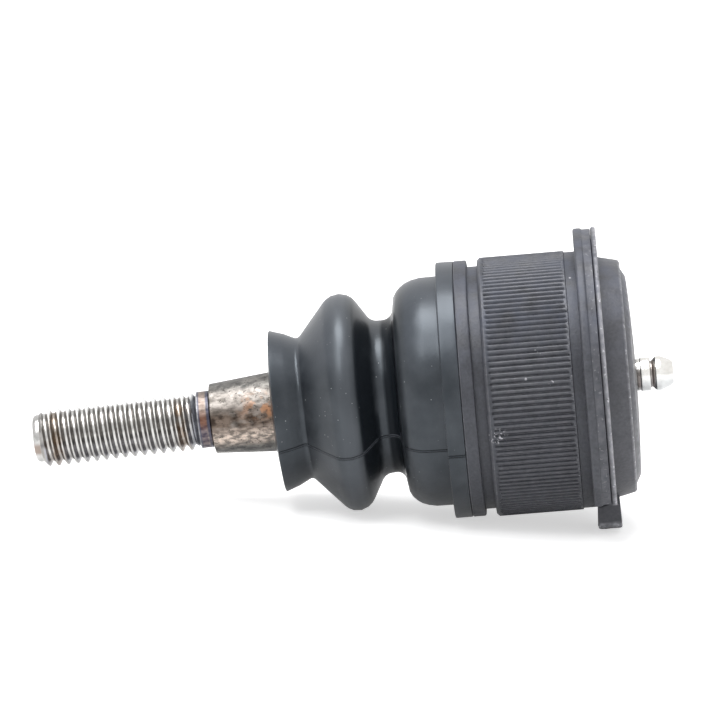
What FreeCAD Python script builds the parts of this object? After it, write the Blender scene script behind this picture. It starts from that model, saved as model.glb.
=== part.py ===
"""Suspension ball joint: a press-in knurled housing with a greased ball stud under a rubber boot.

The origin is the centre of the ball. +X runs along the housing's axis from the ball to the grease
fitting, so the stud points towards -X, and +Z is up as the joint lies. Lengths are millimetres.
"""
import FreeCAD, Part
import math
import os
import Sketcher

SIZES = (
    ("rest_tilt", 1.93, "degrees by which the stud droops below the housing's axis at rest"),
    ("ball_radius", 15.0, "ball of the stud"),
    ("ball_flat_depth", 1.2, "what the flat on the ball's back takes off"),
    ("neck_radius", 7.5, "neck between the ball and the taper"),
    ("neck_fillet", 1.5, "fillet between the ball and the neck"),
    ("taper_small_radius", 6.585, "small end of the taper"),
    ("taper_start", 52.7, "from the ball's centre to the taper's small end"),
    ("taper_length", 14.2, "taper, most of it outside the boot"),
    ("taper_ratio", 6.0, "length in which the taper's diameter changes by one"),
    ("undercut_radius", 5.36, "relief between the taper and the thread"),
    ("undercut_length", 2.6, "relief between the taper and the thread"),
    ("thread_radius", 5.555, "7/16 inch thread, over its crests"),
    ("thread_length", 30.06, "threaded length"),
    ("thread_pitch", 1.8143, "14 turns of thread to the inch"),
    ("thread_depth", 0.98, "from the thread's crests to its roots"),
    ("thread_crest", 0.227, "flat crest of the thread"),
    ("thread_root", 0.4536, "flat root of the thread"),
    ("thread_bevel", 0.4, "bevel at both ends of the thread"),
    ("nose_radius", 4.5, "plain nose in front of the thread"),
    ("nose_length", 1.3, "plain nose in front of the thread"),
    ("seat_clearance", 0.05, "between the ball and its two bearings"),
    ("slide_clearance", 0.05, "round what slides or turns in a bore"),
    ("race_wall", 3.6, "from the ball to the housing's bore"),
    ("race_nose_wall", 1.07, "upper bearing at the mouth"),
    ("race_cone_length", 7.1, "coned seat of the upper bearing"),
    ("race_back", 2.5, "from the ball's centre to the back of the upper bearing"),
    ("bearing_gap", 0.6, "between the two bearings, for wear"),
    ("cup_floor", 2.0, "lower bearing behind the ball"),
    ("grease_hole_radius", 2.5, "grease hole through the lower bearing and its plate"),
    ("plate_thickness", 1.2, "pressure plate under the spring"),
    ("plate_margin", 2.6, "lower bearing outside its pressure plate"),
    ("knurl_offset", -0.5, "from the ball's centre to the knurled seat"),
    ("knurl_radius", 24.45, "press-fit seat, over its serrations"),
    ("knurl_length", 16.3, "press-fit seat"),
    ("knurl_bevel", 0.5, "lead-in of the press-fit seat"),
    ("pilot_radius", 24.18, "smooth band between the seat and the flange"),
    ("pilot_length", 2.05, "smooth band between the seat and the flange"),
    ("groove_radius", 22.9, "floor of the snap-ring groove"),
    ("groove_width", 2.0, "snap-ring groove"),
    ("land_radius", 24.18, "collar in front of the snap-ring groove"),
    ("land_width", 2.5, "collar in front of the snap-ring groove"),
    ("snout_radius", 19.6, "snout that carries the boot"),
    ("snout_length", 3.2, "snout that carries the boot"),
    ("mouth_lip", 1.6, "steel left round the mouth"),
    ("mouth_gap", 0.45, "between the ball and the mouth"),
    ("flange_radius", 28.4, "flange, over its ridge"),
    ("ridge_width", 1.65, "ridge at the front of the flange's edge"),
    ("ridge_height", 0.4, "ridge above the band behind it"),
    ("band_width", 1.7, "band behind the ridge"),
    ("lug_width", 12.0, "lug left standing at the bottom of the flange"),
    ("notch_depth", 23.45, "from the axis to the floor of the notches beside the lug"),
    ("rim_overhang", 0.1, "rim of the cover outside the flange's ridge"),
    ("cover_rim", 0.95, "thickness of the cover's rim"),
    ("cover_wall", 1.2, "thickness of the cover's cup"),
    ("cup_root_radius", 22.75, "cover's cup at its rim"),
    ("cup_taper", 0.9, "how much the cup's radius shrinks to its end"),
    ("cup_depth", 4.05, "from the cover's rim to the end of its cup"),
    ("cup_end_width", 1.55, "flat end of the cup round the dome"),
    ("dome_step_width", 1.5, "sloping step round the dome"),
    ("dome_step", 0.9, "step round the dome"),
    ("dome_rise", 0.65, "dome inside the step"),
    ("dome_sphere", 275.0, "radius of the dome's crown"),
    ("spring_wire_radius", 1.1, "wire of the preload spring"),
    ("spring_small_radius", 9.0, "coil of the preload spring on its plate"),
    ("spring_large_radius", 12.5, "coil of the preload spring in the cover"),
    ("spring_turns", 2.5, "turns of the preload spring"),
    ("bead_wall", 2.88, "rubber over the ring in the bead at the boot's large end"),
    ("bead_width", 2.8, "bead at the boot's large end"),
    ("ring_wall", 1.65, "steel ring inside the bead"),
    ("ring_width", 2.3, "steel ring inside the bead"),
    ("boot_wall", 2.0, "rubber"),
    ("dome_length", 9.6, "boot's dome in front of its bead"),
    ("dome_face_slope", 0.8, "how far the dome's face falls back"),
    ("dome_corner", 5.0, "radius of the dome's corner"),
    ("dome_corner_length", 4.1, "dome's corner along the axis"),
    ("dome_corner_height", 3.3, "dome's corner towards the axis"),
    ("waist_radius", 14.6, "waist between the dome and the fold"),
    ("waist_length", 2.8, "waist behind the dome's face"),
    ("waist_run_out", 1.1, "end of the waist, on the stud's axis"),
    ("fold_height", 8.4, "from the waist to where the fold's flanks would meet"),
    ("fold_front", 5.5, "length of the fold's flank at the waist"),
    ("fold_back", 8.6, "length of the fold's flank at the lip"),
    ("fold_hollow", 3.2, "from where the flanks would meet to the fold's hollow"),
    ("fold_round", 2.9, "rounding of the fold"),
    ("lip_valley_drop", 0.9, "how much deeper than the waist the valley before the lip lies"),
    ("lip_flare", 4.9, "from the valley to the lip's rim"),
    ("lip_flare_height", 1.8, "from the valley to the lip's rim"),
    ("lip_crown", 0.7, "how far the lip's face stands out at the stud"),
    ("lip_inner_step", 1.8, "from the valley to the lip's inner face"),
    ("lip_inner_wall", 1.5, "rubber round the lip's inner face"),
    ("lip_ring_rubber", 0.73, "rubber between the stud and the steel ring in the lip"),
    ("lip_ring_wall", 2.5, "steel ring in the lip"),
    ("lip_ring_width", 2.5, "steel ring in the lip"),
    ("lip_ring_inset", 0.3, "how deep the ring sits in the lip's inner face"),
    ("fitting_shank_radius", 2.9, "shank of the grease fitting, and its hole in the cover"),
    ("fitting_shank_depth", 2.2, "shank of the grease fitting below the dome"),
    ("fitting_collar_radius", 3.05, "collar of the fitting on the dome"),
    ("fitting_collar", 0.75, "collar of the fitting on the dome"),
    ("fitting_body_radius", 3.2, "body of the fitting"),
    ("fitting_body", 1.85, "body of the fitting"),
    ("fitting_neck_radius", 2.5, "neck of the fitting"),
    ("fitting_neck", 0.35, "neck of the fitting"),
    ("fitting_flank", 0.7, "flank behind the fitting's head"),
    ("fitting_head_radius", 3.24, "head of the fitting, which the grease coupler grips"),
    ("fitting_head", 0.9, "head of the fitting"),
    ("fitting_cheek_radius", 2.55, "end of the slope in front of the head"),
    ("fitting_cheek", 1.75, "slope in front of the head"),
    ("fitting_tip_radius", 2.05, "tip of the fitting"),
    ("fitting_tip", 0.65, "tip of the fitting"),
    ("fitting_bore_radius", 1.3, "bore of the fitting"),
    ("fitting_port_radius", 0.95, "port at the fitting's tip"),
    ("fitting_port", 0.8, "port at the fitting's tip"),
    ("fitting_floor", 2.2, "closed end of the fitting's bore above the dome, but for its passage"),
    ("fitting_passage_radius", 0.8, "grease passage through the shank"),
    ("check_ball_radius", 1.2, "ball that shuts the fitting"),
    ("check_wire_radius", 0.15, "wire of the check spring"),
    ("check_coil_radius", 0.85, "coil of the check spring"),
    ("check_turns", 4.0, "turns of the check spring"),
    ("port_gap", 0.02, "between the check ball and its port"),
)

doc = FreeCAD.newDocument("ball_joint")
sheet = doc.addObject("Spreadsheet::Sheet", "sizes")


class Size:
    """A size known both as a number and as the sheet expression that gives it."""

    def __init__(self, value, text):
        self.value = value
        self.text = text

    def join(self, other, sign, value):
        return Size(value, "(%s %s %s)" % (self.text, sign, as_size(other).text))

    def __add__(self, other):
        return self.join(other, "+", self.value + as_size(other).value)

    def __sub__(self, other):
        return self.join(other, "-", self.value - as_size(other).value)

    def __mul__(self, other):
        return self.join(other, "*", self.value * as_size(other).value)

    def __truediv__(self, other):
        return self.join(other, "/", self.value / as_size(other).value)

    def __neg__(self):
        return Size(-self.value, "(0 - %s)" % self.text)


def as_size(number):
    return number if isinstance(number, Size) else Size(float(number), "%.6f" % number)


def root(size):
    return Size(math.sqrt(size.value), "sqrt(%s)" % size.text)


def whole(size):
    """The whole number below."""
    return Size(math.floor(size.value), "floor(%s)" % size.text)


def on_sphere(radius, x):
    """How far from the axis a sphere about the origin is, at x."""
    return root(radius * radius - x * x)


for row, (alias, number, meaning) in enumerate(SIZES, start=1):
    sheet.set("A%d" % row, alias)
    sheet.set("B%d" % row, str(number))
    sheet.setAlias("B%d" % row, alias)
    sheet.set("C%d" % row, meaning)
doc.recompute()

cell = {alias: Size(float(sheet.get(alias)), "sizes." + alias) for alias, number, meaning in SIZES}
ZERO = Size(0.0, "0")


def new_body(name, on_stud=False):
    """An empty body. One on the stud lies on the stud's drooping axis."""
    body = doc.addObject("PartDesign::Body", name)
    body.Label = name
    if on_stud:
        tilt = cell["rest_tilt"]
        body.Placement = FreeCAD.Placement(
            FreeCAD.Vector(), FreeCAD.Rotation(FreeCAD.Vector(0, -1, 0), tilt.value)
        )
        body.setExpression("Placement.Rotation.Angle", tilt.text)
    return body


def origin_plane(body, role):
    return next(feature for feature in body.Origin.OriginFeatures if feature.Role == role)


def arc_centre(begin, end, radius):
    """Centre of an arc from begin to end. It lies left of that way for a positive radius."""
    half = (end - begin) / 2
    side = FreeCAD.Vector(-half.y, half.x, 0).normalize()
    reach = math.sqrt(max(radius * radius - half.Length ** 2, 0.0))
    return begin + half + side * math.copysign(reach, radius)


def outline(body, name, points):
    """A closed sketch in the XZ plane. A point is (x, r), or (x, r, radius) where an arc leaves it."""
    sketch = body.newObject("Sketcher::SketchObject", name)
    sketch.AttachmentSupport = (origin_plane(body, "XZ_Plane"), [""])
    sketch.MapMode = "FlatFace"
    spots = [FreeCAD.Vector(point[0].value, point[1].value, 0) for point in points]
    edges = []
    ends = []
    for index, point in enumerate(points):
        begin = spots[index]
        end = spots[(index + 1) % len(spots)]
        if len(point) == 2:
            edges.append(Part.LineSegment(begin, end))
            ends.append((1, 2))
            continue
        radius = point[2].value
        centre = arc_centre(begin, end, radius)
        first, last = (begin, end) if radius > 0 else (end, begin)
        circle = Part.Circle(centre, FreeCAD.Vector(0, 0, 1), abs(radius))
        angles = [math.atan2(spot.y - centre.y, spot.x - centre.x) for spot in (first, last)]
        edges.append(Part.ArcOfCircle(circle, angles[0], angles[1]))
        ends.append((1, 2) if radius > 0 else (2, 1))
    sketch.addGeometry(edges, False)
    for index in range(len(points)):
        following = (index + 1) % len(points)
        sketch.addConstraint(
            Sketcher.Constraint("Coincident", index, ends[index][1], following, ends[following][0])
        )
    for index, point in enumerate(points):
        place = (index, ends[index][0])
        for kind, size, axis in (("DistanceX", point[0], -2), ("DistanceY", point[1], -1)):
            if size.text == ZERO.text:
                sketch.addConstraint(Sketcher.Constraint("PointOnObject", place[0], place[1], axis))
                continue
            number = sketch.addConstraint(
                Sketcher.Constraint(kind, -1, 1, place[0], place[1], size.value)
            )
            sketch.setExpression("Constraints[%d]" % number, size.text)
        if len(point) == 3:
            number = sketch.addConstraint(
                Sketcher.Constraint("Radius", index, abs(point[2].value))
            )
            text = point[2].text if point[2].value > 0 else (-point[2]).text
            sketch.setExpression("Constraints[%d]" % number, text)
    return sketch


def turn(body, points, name="Turned"):
    """Turns an outline about the body's X axis."""
    sketch = outline(body, name + "Outline", points)
    feature = body.newObject("PartDesign::Revolution", name)
    feature.Profile = sketch
    feature.ReferenceAxis = (sketch, ["H_Axis"])
    feature.Angle = 360
    doc.recompute()
    return feature


def round_edges(body, places, radius):
    """Rounds the circular edges of the body's tip that lie at the given (x, r)."""
    tip = body.Tip
    found = []
    for number, edge in enumerate(tip.Shape.Edges, start=1):
        if not isinstance(edge.Curve, Part.Circle):
            continue
        for x, r in places:
            if abs(edge.Curve.Center.x - x.value) < 1e-4 and abs(edge.Curve.Radius - r.value) < 1e-4:
                found.append("Edge%d" % number)
    fillet = body.newObject("PartDesign::Fillet", "Rounded")
    fillet.Base = (tip, found)
    fillet.Radius = radius.value
    fillet.setExpression("Radius", radius.text)
    doc.recompute()
    return fillet


def coil(name, start, end, first_radius, last_radius, turns, wire):
    """A coil spring about the X axis, from start to end, of round wire."""
    body = new_body(name)
    sketch = body.newObject("Sketcher::SketchObject", "WireSection")
    sketch.AttachmentSupport = (origin_plane(body, "XZ_Plane"), [""])
    sketch.MapMode = "FlatFace"
    middle = FreeCAD.Vector(start.value, first_radius.value, 0)
    sketch.addGeometry(Part.Circle(middle, FreeCAD.Vector(0, 0, 1), wire.value), False)
    for kind, size in (("DistanceX", start), ("DistanceY", first_radius)):
        number = sketch.addConstraint(Sketcher.Constraint(kind, -1, 1, 0, 3, size.value))
        sketch.setExpression("Constraints[%d]" % number, size.text)
    number = sketch.addConstraint(Sketcher.Constraint("Radius", 0, wire.value))
    sketch.setExpression("Constraints[%d]" % number, wire.text)
    helix = body.newObject("PartDesign::AdditiveHelix", "Coil")
    helix.Profile = sketch
    helix.ReferenceAxis = (sketch, ["H_Axis"])
    helix.Mode = "height-turns-growth"
    height = end - start
    growth = (last_radius - first_radius) / turns
    helix.Height = height.value
    helix.Turns = turns.value
    helix.Growth = growth.value
    helix.setExpression("Height", height.text)
    helix.setExpression("Turns", turns.text)
    helix.setExpression("Growth", growth.text)
    doc.recompute()
    return body


# Places along the housing's axis, from the mouth to the flange
knurl_start = cell["knurl_offset"]
groove_start = knurl_start - cell["groove_width"]
land_start = groove_start - cell["land_width"]
mouth_start = land_start - cell["snout_length"]
mouth_end = mouth_start + cell["mouth_lip"]
cone_end = mouth_end + cell["race_cone_length"]
knurl_end = knurl_start + cell["knurl_length"]
flange_start = knurl_end + cell["pilot_length"]
ridge_end = flange_start + cell["ridge_width"]
flange_end = ridge_end + cell["band_width"]

# Fits round the ball
seat_radius = cell["ball_radius"] + cell["seat_clearance"]
bore_radius = cell["ball_radius"] + cell["race_wall"]
race_nose_radius = on_sphere(seat_radius, mouth_end) + cell["race_nose_wall"]


def make_housing():
    """Forged housing: mouth, snout, snap-ring groove, knurled seat and flange with its lug."""
    body = new_body("housing")
    lead = knurl_start + cell["knurl_bevel"]
    turn(body, [
        (mouth_start, on_sphere(seat_radius, mouth_start) + cell["mouth_gap"]),
        (mouth_start, cell["snout_radius"]),
        (land_start, cell["snout_radius"]),
        (land_start, cell["land_radius"]),
        (groove_start, cell["land_radius"]),
        (groove_start, cell["groove_radius"]),
        (knurl_start, cell["groove_radius"]),
        (knurl_start, cell["knurl_radius"] - cell["knurl_bevel"]),
        (lead, cell["knurl_radius"]),
        (knurl_end, cell["knurl_radius"]),
        (knurl_end, cell["pilot_radius"]),
        (flange_start, cell["pilot_radius"]),
        (flange_start, cell["flange_radius"]),
        (ridge_end, cell["flange_radius"]),
        (ridge_end, cell["flange_radius"] - cell["ridge_height"]),
        (flange_end, cell["flange_radius"] - cell["ridge_height"]),
        (flange_end, bore_radius),
        (cone_end, bore_radius),
        (mouth_end, race_nose_radius),
        (mouth_end, on_sphere(seat_radius, mouth_end) + cell["mouth_gap"]),
    ])
    cut_notches(body, flange_start, flange_end, cell["flange_radius"])
    return body


def cut_notches(body, start, end, radius):
    """Cuts the rim away below the notch floor, on both sides of the lug."""
    reach = radius + 1
    for side, name in ((-1, "NearNotch"), (1, "FarNotch")):
        notch = body.newObject("PartDesign::SubtractiveBox", name)
        low_y = cell["lug_width"] / 2 if side > 0 else -reach
        sizes = (
            ("Length", end - start),
            ("Width", reach - cell["lug_width"] / 2),
            ("Height", reach - cell["notch_depth"]),
            ("Placement.Base.x", start),
            ("Placement.Base.y", low_y),
            ("Placement.Base.z", -reach),
        )
        notch.Length, notch.Width, notch.Height = [size.value for key, size in sizes[:3]]
        notch.Placement.Base = FreeCAD.Vector(*[size.value for key, size in sizes[3:]])
        for key, size in sizes:
            notch.setExpression(key, size.text)
        doc.recompute()


def make_cover():
    """Pressed cover: a flat rim on the flange, a coned cup and a low dome with the fitting's hole."""
    body = new_body("cover")
    rim_end = flange_end + cell["cover_rim"]
    rim_radius = cell["flange_radius"] + cell["rim_overhang"]
    wall = cell["cover_wall"]
    turn(body, [
        (flange_end, cell["cup_root_radius"] - wall),
        (flange_end, rim_radius),
        (rim_end, rim_radius),
        (rim_end, cell["cup_root_radius"]),
        (cup_end, cup_end_radius),
        (cup_end, dome_edge_radius),
        (step_end, dome_radius, -cell["dome_sphere"]),
        (dome_top, cell["fitting_shank_radius"]),
        (dome_top - wall, cell["fitting_shank_radius"], cell["dome_sphere"]),
        (step_end - wall, dome_radius - wall / 2),
        (cup_end - wall, dome_edge_radius - wall / 2),
        (cup_end - wall, cup_end_radius - wall),
    ])
    cut_notches(body, flange_end, rim_end, rim_radius)
    return body


cup_end = flange_end + cell["cover_rim"] + cell["cup_depth"]
step_end = cup_end + cell["dome_step"]
dome_top = step_end + cell["dome_rise"]
cup_end_radius = cell["cup_root_radius"] - cell["cup_taper"]
dome_edge_radius = cup_end_radius - cell["cup_end_width"]
dome_radius = dome_edge_radius - cell["dome_step_width"]


def make_ball_stud():
    """Forged stud: ball, neck, taper, relief, thread and plain nose, along -X of its own axis."""
    body = new_body("ball_stud", on_stud=True)
    ball = cell["ball_radius"]
    ball_flat = ball - cell["ball_flat_depth"]
    neck = cell["neck_radius"]
    bevel = cell["thread_bevel"]
    thread_start = -cell["taper_start"] - cell["undercut_length"]
    thread_end = thread_start - cell["thread_length"]
    stud_end = thread_end - cell["nose_length"]
    turn(body, [
        (ball_flat, ZERO),
        (ball_flat, on_sphere(ball, ball_flat), ball),
        (-on_sphere(ball, neck), neck),
        (taper_end, taper_radius(taper_end)),
        (-cell["taper_start"], cell["taper_small_radius"]),
        (-cell["taper_start"], cell["undercut_radius"]),
        (thread_start, cell["undercut_radius"]),
        (thread_start - bevel, cell["thread_radius"]),
        (thread_end + bevel, cell["thread_radius"]),
        (thread_end, cell["nose_radius"]),
        (stud_end, cell["nose_radius"]),
        (stud_end, ZERO),
    ])
    round_edges(body, [(-on_sphere(ball, neck), neck)], cell["neck_fillet"])
    cut_thread(body, thread_start - bevel, thread_end + bevel)
    return body


def cut_thread(body, start, end):
    """Cuts the thread between start and end as rings, one for each turn, with crests left between."""
    pitch = cell["thread_pitch"]
    crest = cell["thread_crest"]
    flank = (pitch - crest - cell["thread_root"]) / 2
    crest_radius = cell["thread_radius"]
    root_radius = crest_radius - cell["thread_depth"]
    sketch = outline(body, "ThreadOutline", [
        (start - crest, crest_radius),
        (start - crest - flank, root_radius),
        (start - pitch + flank, root_radius),
        (start - pitch, crest_radius),
    ])
    groove = body.newObject("PartDesign::Groove", "ThreadGroove")
    groove.Profile = sketch
    groove.ReferenceAxis = (sketch, ["H_Axis"])
    groove.Angle = 360
    doc.recompute()
    turns = whole((start - end - crest) / pitch)
    pattern = body.newObject("PartDesign::LinearPattern", "Thread")
    pattern.Originals = [groove]
    pattern.Direction = (sketch, ["H_Axis"])
    pattern.Reversed = True
    pattern.Mode = "Spacing"
    pattern.Offset = pitch.value
    pattern.Occurrences = int(turns.value)
    pattern.setExpression("Offset", pitch.text)
    pattern.setExpression("Occurrences", turns.text)
    body.Tip = pattern
    doc.recompute()


taper_end = cell["taper_length"] - cell["taper_start"]


def taper_radius(x):
    """Radius of the stud's taper at x."""
    return cell["taper_small_radius"] + (x + cell["taper_start"]) / cell["taper_ratio"] / 2


def make_upper_bearing():
    """Bearing ring between the ball and the housing's coned end, which takes the pull on the stud."""
    body = new_body("upper_bearing")
    turn(body, [
        (mouth_end, on_sphere(seat_radius, mouth_end)),
        (mouth_end, race_nose_radius),
        (cone_end, bore_radius),
        (cell["race_back"], bore_radius),
        (cell["race_back"], on_sphere(seat_radius, cell["race_back"]), seat_radius),
    ])
    return body


cup_front = cell["race_back"] + cell["bearing_gap"]
cup_back = cell["ball_radius"] + cell["cup_floor"]
plate_back = cup_back + cell["plate_thickness"]


def make_lower_bearing():
    """Bearing cup behind the ball, which the spring pushes along the bore."""
    body = new_body("lower_bearing")
    outer = bore_radius - cell["slide_clearance"]
    hole = cell["grease_hole_radius"]
    turn(body, [
        (cup_front, outer),
        (cup_back, outer),
        (cup_back, hole),
        (on_sphere(seat_radius, hole), hole, seat_radius),
        (cup_front, on_sphere(seat_radius, cup_front)),
    ])
    return body


def make_pressure_plate():
    """Steel plate that spreads the spring's push over the lower bearing."""
    body = new_body("pressure_plate")
    outer = bore_radius - cell["plate_margin"]
    hole = cell["grease_hole_radius"]
    turn(body, [(cup_back, hole), (cup_back, outer), (plate_back, outer), (plate_back, hole)])
    return body


def make_preload_spring():
    """Coned coil spring between the pressure plate and the inside of the cover's dome."""
    wire = cell["spring_wire_radius"]
    gap = cell["slide_clearance"]
    share = (cell["spring_large_radius"] + wire) / dome_radius
    seat = dome_top - cell["cover_wall"] - cell["dome_rise"] * share * share
    return coil(
        "preload_spring", plate_back + wire + gap, seat - wire - gap,
        cell["spring_small_radius"], cell["spring_large_radius"], cell["spring_turns"], wire,
    )


boot_bore = cell["snout_radius"] + cell["slide_clearance"]
ring_radius = boot_bore + cell["ring_wall"]
ring_start = land_start - cell["ring_width"]
bead_radius = ring_radius + cell["bead_wall"]
bead_start = land_start - cell["bead_width"]
dome_face = bead_start - cell["dome_length"]
waist_inner = cell["waist_radius"] - cell["boot_wall"] * 1.1
bellows_start = dome_face - cell["boot_wall"] / 2
fold_foot = dome_face - cell["waist_length"] - cell["waist_run_out"]
fold_place = fold_foot - cell["fold_front"]
fold_peak = cell["waist_radius"] + cell["fold_height"]
lip_valley = fold_place - cell["fold_back"]
lip_valley_radius = cell["waist_radius"] - cell["lip_valley_drop"]
lip_rim = lip_valley - cell["lip_flare"]
lip_face = lip_rim - cell["lip_crown"]
lip_inner = lip_valley + cell["lip_inner_step"]
lip_ring_inner = taper_radius(taper_end) + cell["lip_ring_rubber"]


def make_boot():
    """Rubber boot in one moulding: bead and dome on the snout's axis, fold and lip on the stud's."""
    wall = cell["boot_wall"]
    dome_outer = boot_bore + wall
    face_radius = dome_outer - cell["dome_corner_height"]
    face_end = dome_face + cell["dome_face_slope"]
    corner_end = face_end + cell["dome_corner_length"]
    waist_end = dome_face - cell["waist_length"]
    inner_corner = cell["dome_corner"] - wall / 2
    dome = new_body("boot_dome")
    turn(dome, [
        (land_start, ring_radius),
        (land_start, bead_radius),
        (bead_start, bead_radius),
        (bead_start, dome_outer),
        (corner_end, dome_outer, cell["dome_corner"]),
        (face_end, face_radius),
        (dome_face, cell["waist_radius"] + wall / 10),
        (waist_end, cell["waist_radius"]),
        (waist_end, waist_inner),
        (dome_face + wall, waist_inner),
        (face_end + wall, face_radius - wall / 3, -inner_corner),
        (corner_end, boot_bore),
        (ring_start, boot_bore),
        (ring_start, ring_radius),
    ])
    bellows = new_body("boot_bellows", on_stud=True)
    rub = cell["slide_clearance"]
    ring_bed = lip_inner - cell["lip_ring_inset"] - cell["lip_ring_width"] - rub
    bed_inner = lip_ring_inner - rub
    bed_outer = lip_ring_inner + cell["lip_ring_wall"] + rub
    shank = taper_radius(taper_end) + rub
    turn(bellows, [
        (bellows_start, cell["waist_radius"]),
        (fold_foot, cell["waist_radius"] + wall / 6),
        (fold_place, fold_peak),
        (lip_valley + wall / 4, lip_valley_radius),
        (lip_valley - wall / 4, lip_valley_radius),
        (lip_rim, lip_valley_radius + cell["lip_flare_height"]),
        (lip_face, taper_radius(lip_face) + rub),
        (taper_end, shank),
        (lip_inner, shank),
        (lip_inner, bed_inner),
        (ring_bed, bed_inner),
        (ring_bed, bed_outer),
        (lip_inner, bed_outer),
        (lip_inner, lip_valley_radius - cell["lip_inner_wall"]),
        (fold_place, fold_peak - cell["fold_hollow"]),
        (fold_foot - wall / 4, waist_inner),
        (bellows_start, waist_inner),
    ])
    round_edges(bellows, [(fold_place, fold_peak)], cell["fold_round"])
    boot = doc.addObject("Part::Fuse", "boot")
    boot.Base = dome
    boot.Tool = bellows
    boot.Label = "boot"
    doc.recompute()
    return boot


def make_boot_ring():
    """Steel ring moulded into the bead, which holds it on the snout."""
    body = new_body("boot_ring")
    turn(body, [
        (ring_start, boot_bore),
        (ring_start, ring_radius),
        (land_start, ring_radius),
        (land_start, boot_bore),
    ])
    return body


def make_lip_ring():
    """Steel ring in the boot's small end, which keeps the lip round on the stud."""
    body = new_body("lip_ring", on_stud=True)
    start = lip_inner - cell["lip_ring_inset"]
    end = start - cell["lip_ring_width"]
    outer = lip_ring_inner + cell["lip_ring_wall"]
    turn(body, [(start, lip_ring_inner), (start, outer), (end, outer), (end, lip_ring_inner)])
    return body


fitting_body_start = dome_top + cell["fitting_collar"]
fitting_body_end = fitting_body_start + cell["fitting_body"]
fitting_neck_end = fitting_body_end + cell["fitting_neck"]
fitting_head_start = fitting_neck_end + cell["fitting_flank"]
fitting_head_end = fitting_head_start + cell["fitting_head"]
fitting_cheek_end = fitting_head_end + cell["fitting_cheek"]
fitting_end = fitting_cheek_end + cell["fitting_tip"]
port_start = fitting_end - cell["fitting_port"]
bore_start = dome_top + cell["fitting_floor"]


def make_grease_fitting():
    """Turned grease fitting pressed into the dome: shank, collar, body, neck and gripped head."""
    body = new_body("grease_fitting")
    turn(body, [
        (dome_top - cell["fitting_shank_depth"], cell["fitting_passage_radius"]),
        (dome_top - cell["fitting_shank_depth"], cell["fitting_shank_radius"]),
        (dome_top, cell["fitting_shank_radius"]),
        (dome_top, cell["fitting_collar_radius"]),
        (fitting_body_start, cell["fitting_collar_radius"]),
        (fitting_body_start, cell["fitting_body_radius"]),
        (fitting_body_end, cell["fitting_body_radius"]),
        (fitting_body_end, cell["fitting_neck_radius"]),
        (fitting_neck_end, cell["fitting_neck_radius"]),
        (fitting_head_start, cell["fitting_head_radius"]),
        (fitting_head_end, cell["fitting_head_radius"]),
        (fitting_cheek_end, cell["fitting_cheek_radius"]),
        (fitting_end, cell["fitting_tip_radius"]),
        (fitting_end, cell["fitting_port_radius"]),
        (port_start, cell["fitting_port_radius"]),
        (port_start, cell["fitting_bore_radius"]),
        (bore_start, cell["fitting_bore_radius"]),
        (bore_start, cell["fitting_passage_radius"]),
    ])
    return body


check_radius = cell["check_ball_radius"]
check_place = port_start - on_sphere(check_radius, cell["fitting_port_radius"]) - cell["port_gap"]


def make_check_ball():
    """Ball that shuts the fitting's port."""
    body = new_body("check_ball")
    turn(body, [
        (check_place - check_radius, ZERO),
        (check_place + check_radius, ZERO, check_radius),
        (check_place, check_radius, check_radius),
    ])
    return body


def make_check_spring():
    """Small coil spring that holds the check ball against its port."""
    wire = cell["check_wire_radius"]
    gap = cell["port_gap"]
    ball_back = check_place - on_sphere(check_radius, cell["check_coil_radius"])
    return coil(
        "check_spring", bore_start + wire + gap, ball_back - wire * 2 - gap,
        cell["check_coil_radius"], cell["check_coil_radius"], cell["check_turns"], wire,
    )


parts = [
    make_housing(),
    make_cover(),
    make_ball_stud(),
    make_upper_bearing(),
    make_lower_bearing(),
    make_pressure_plate(),
    make_preload_spring(),
    make_boot(),
    make_boot_ring(),
    make_lip_ring(),
    make_grease_fitting(),
    make_check_ball(),
    make_check_spring(),
]
doc.recompute()

for thing in doc.Objects:
    if "Invalid" in thing.State or "Error" in thing.State:
        raise RuntimeError("%s did not build: %s" % (thing.Name, thing.State))
for part in parts:
    shape = part.Shape
    if shape.isNull() or not shape.isValid() or len(shape.Solids) != 1:
        raise RuntimeError("%s has no valid single solid" % part.Label)
    print("%-16s %9.1f mm3" % (part.Label, shape.Volume))

os.makedirs("parts", exist_ok=True)
for part in parts:
    part.Shape.exportStep("parts/%s.step" % part.Label)
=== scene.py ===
import math

import bmesh
import bpy
import numpy as np
from mathutils import Matrix, Vector


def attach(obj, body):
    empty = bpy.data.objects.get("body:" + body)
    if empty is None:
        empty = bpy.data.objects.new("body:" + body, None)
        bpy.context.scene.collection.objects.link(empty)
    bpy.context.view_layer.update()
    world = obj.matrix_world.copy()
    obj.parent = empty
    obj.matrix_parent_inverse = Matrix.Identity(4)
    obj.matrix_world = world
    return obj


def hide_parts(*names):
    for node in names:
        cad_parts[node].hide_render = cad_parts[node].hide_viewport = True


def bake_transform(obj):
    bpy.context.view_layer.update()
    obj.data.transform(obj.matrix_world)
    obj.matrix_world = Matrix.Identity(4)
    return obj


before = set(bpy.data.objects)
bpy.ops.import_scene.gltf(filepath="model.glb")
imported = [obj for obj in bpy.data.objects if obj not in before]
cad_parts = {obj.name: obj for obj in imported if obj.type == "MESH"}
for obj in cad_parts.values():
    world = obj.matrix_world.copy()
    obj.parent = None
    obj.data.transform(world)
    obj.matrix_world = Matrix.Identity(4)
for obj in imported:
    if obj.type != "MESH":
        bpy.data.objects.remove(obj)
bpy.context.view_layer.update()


# ---- Housing ----
# Forged steel, turned, rolled with serrations and blackened. The mouth holds the ball's bearing,
# the snout and collar carry the boot, and the flange has two notches with a sheared lug between.
MM = 0.001
TURN = 2 * math.pi
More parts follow.
